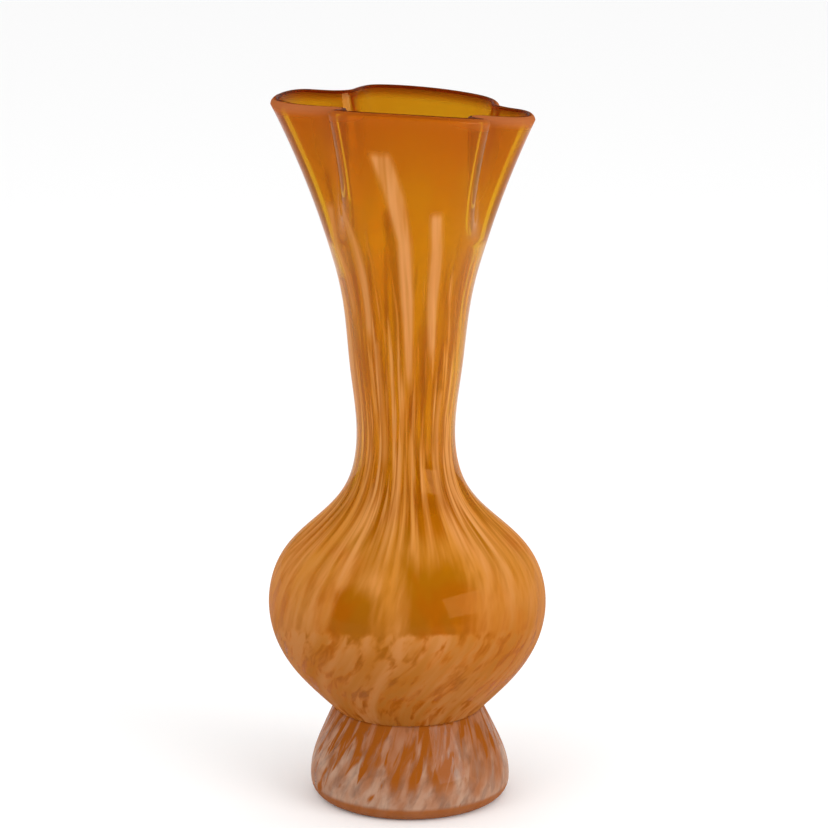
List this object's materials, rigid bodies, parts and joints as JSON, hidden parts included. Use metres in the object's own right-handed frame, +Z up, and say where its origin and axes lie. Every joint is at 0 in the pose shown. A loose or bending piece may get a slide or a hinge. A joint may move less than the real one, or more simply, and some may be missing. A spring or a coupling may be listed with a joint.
{
  "type": "hand blown glass vase",
  "caption": "Footed bottle-form vase in amber cased glass with drawn frit streaks, a round bowl, a slim neck and a flared lobed mouth.",
  "frame": {"origin": "centre of the ring that the foot stands on, on the surface that the vase stands on", "axes": "+Z up along the vase's axis; the lip's high lobe is on -X and its broad, low front lobe is on -Y"},
  "size_m": [0.0977, 0.0976, 0.2481],
  "materials": {
    "clear_glass": "fire-polished clear glass",
    "frit_glass": "opaque peach-white frit drawn into streaks, inside the wall",
    "amber_glass": "transparent amber glass, fire-polished",
    "foot_clear_glass": "fire-polished clear glass",
    "foot_frit_glass": "peach-white frit with drawn-down amber, inside the wall",
    "foot_lining_glass": "pale amber-tinted clear glass",
    "wafer_glass": "snapped and softened clear glass"
  },
  "bodies": {
    "root": {"clear_casing": "clear_glass", "frit_layer": "frit_glass", "amber_lining": "amber_glass", "foot_casing": "foot_clear_glass", "foot_frit": "foot_frit_glass", "foot_lining": "foot_lining_glass", "pontil_wafer": "wafer_glass"}
  },
  "joints": []
}
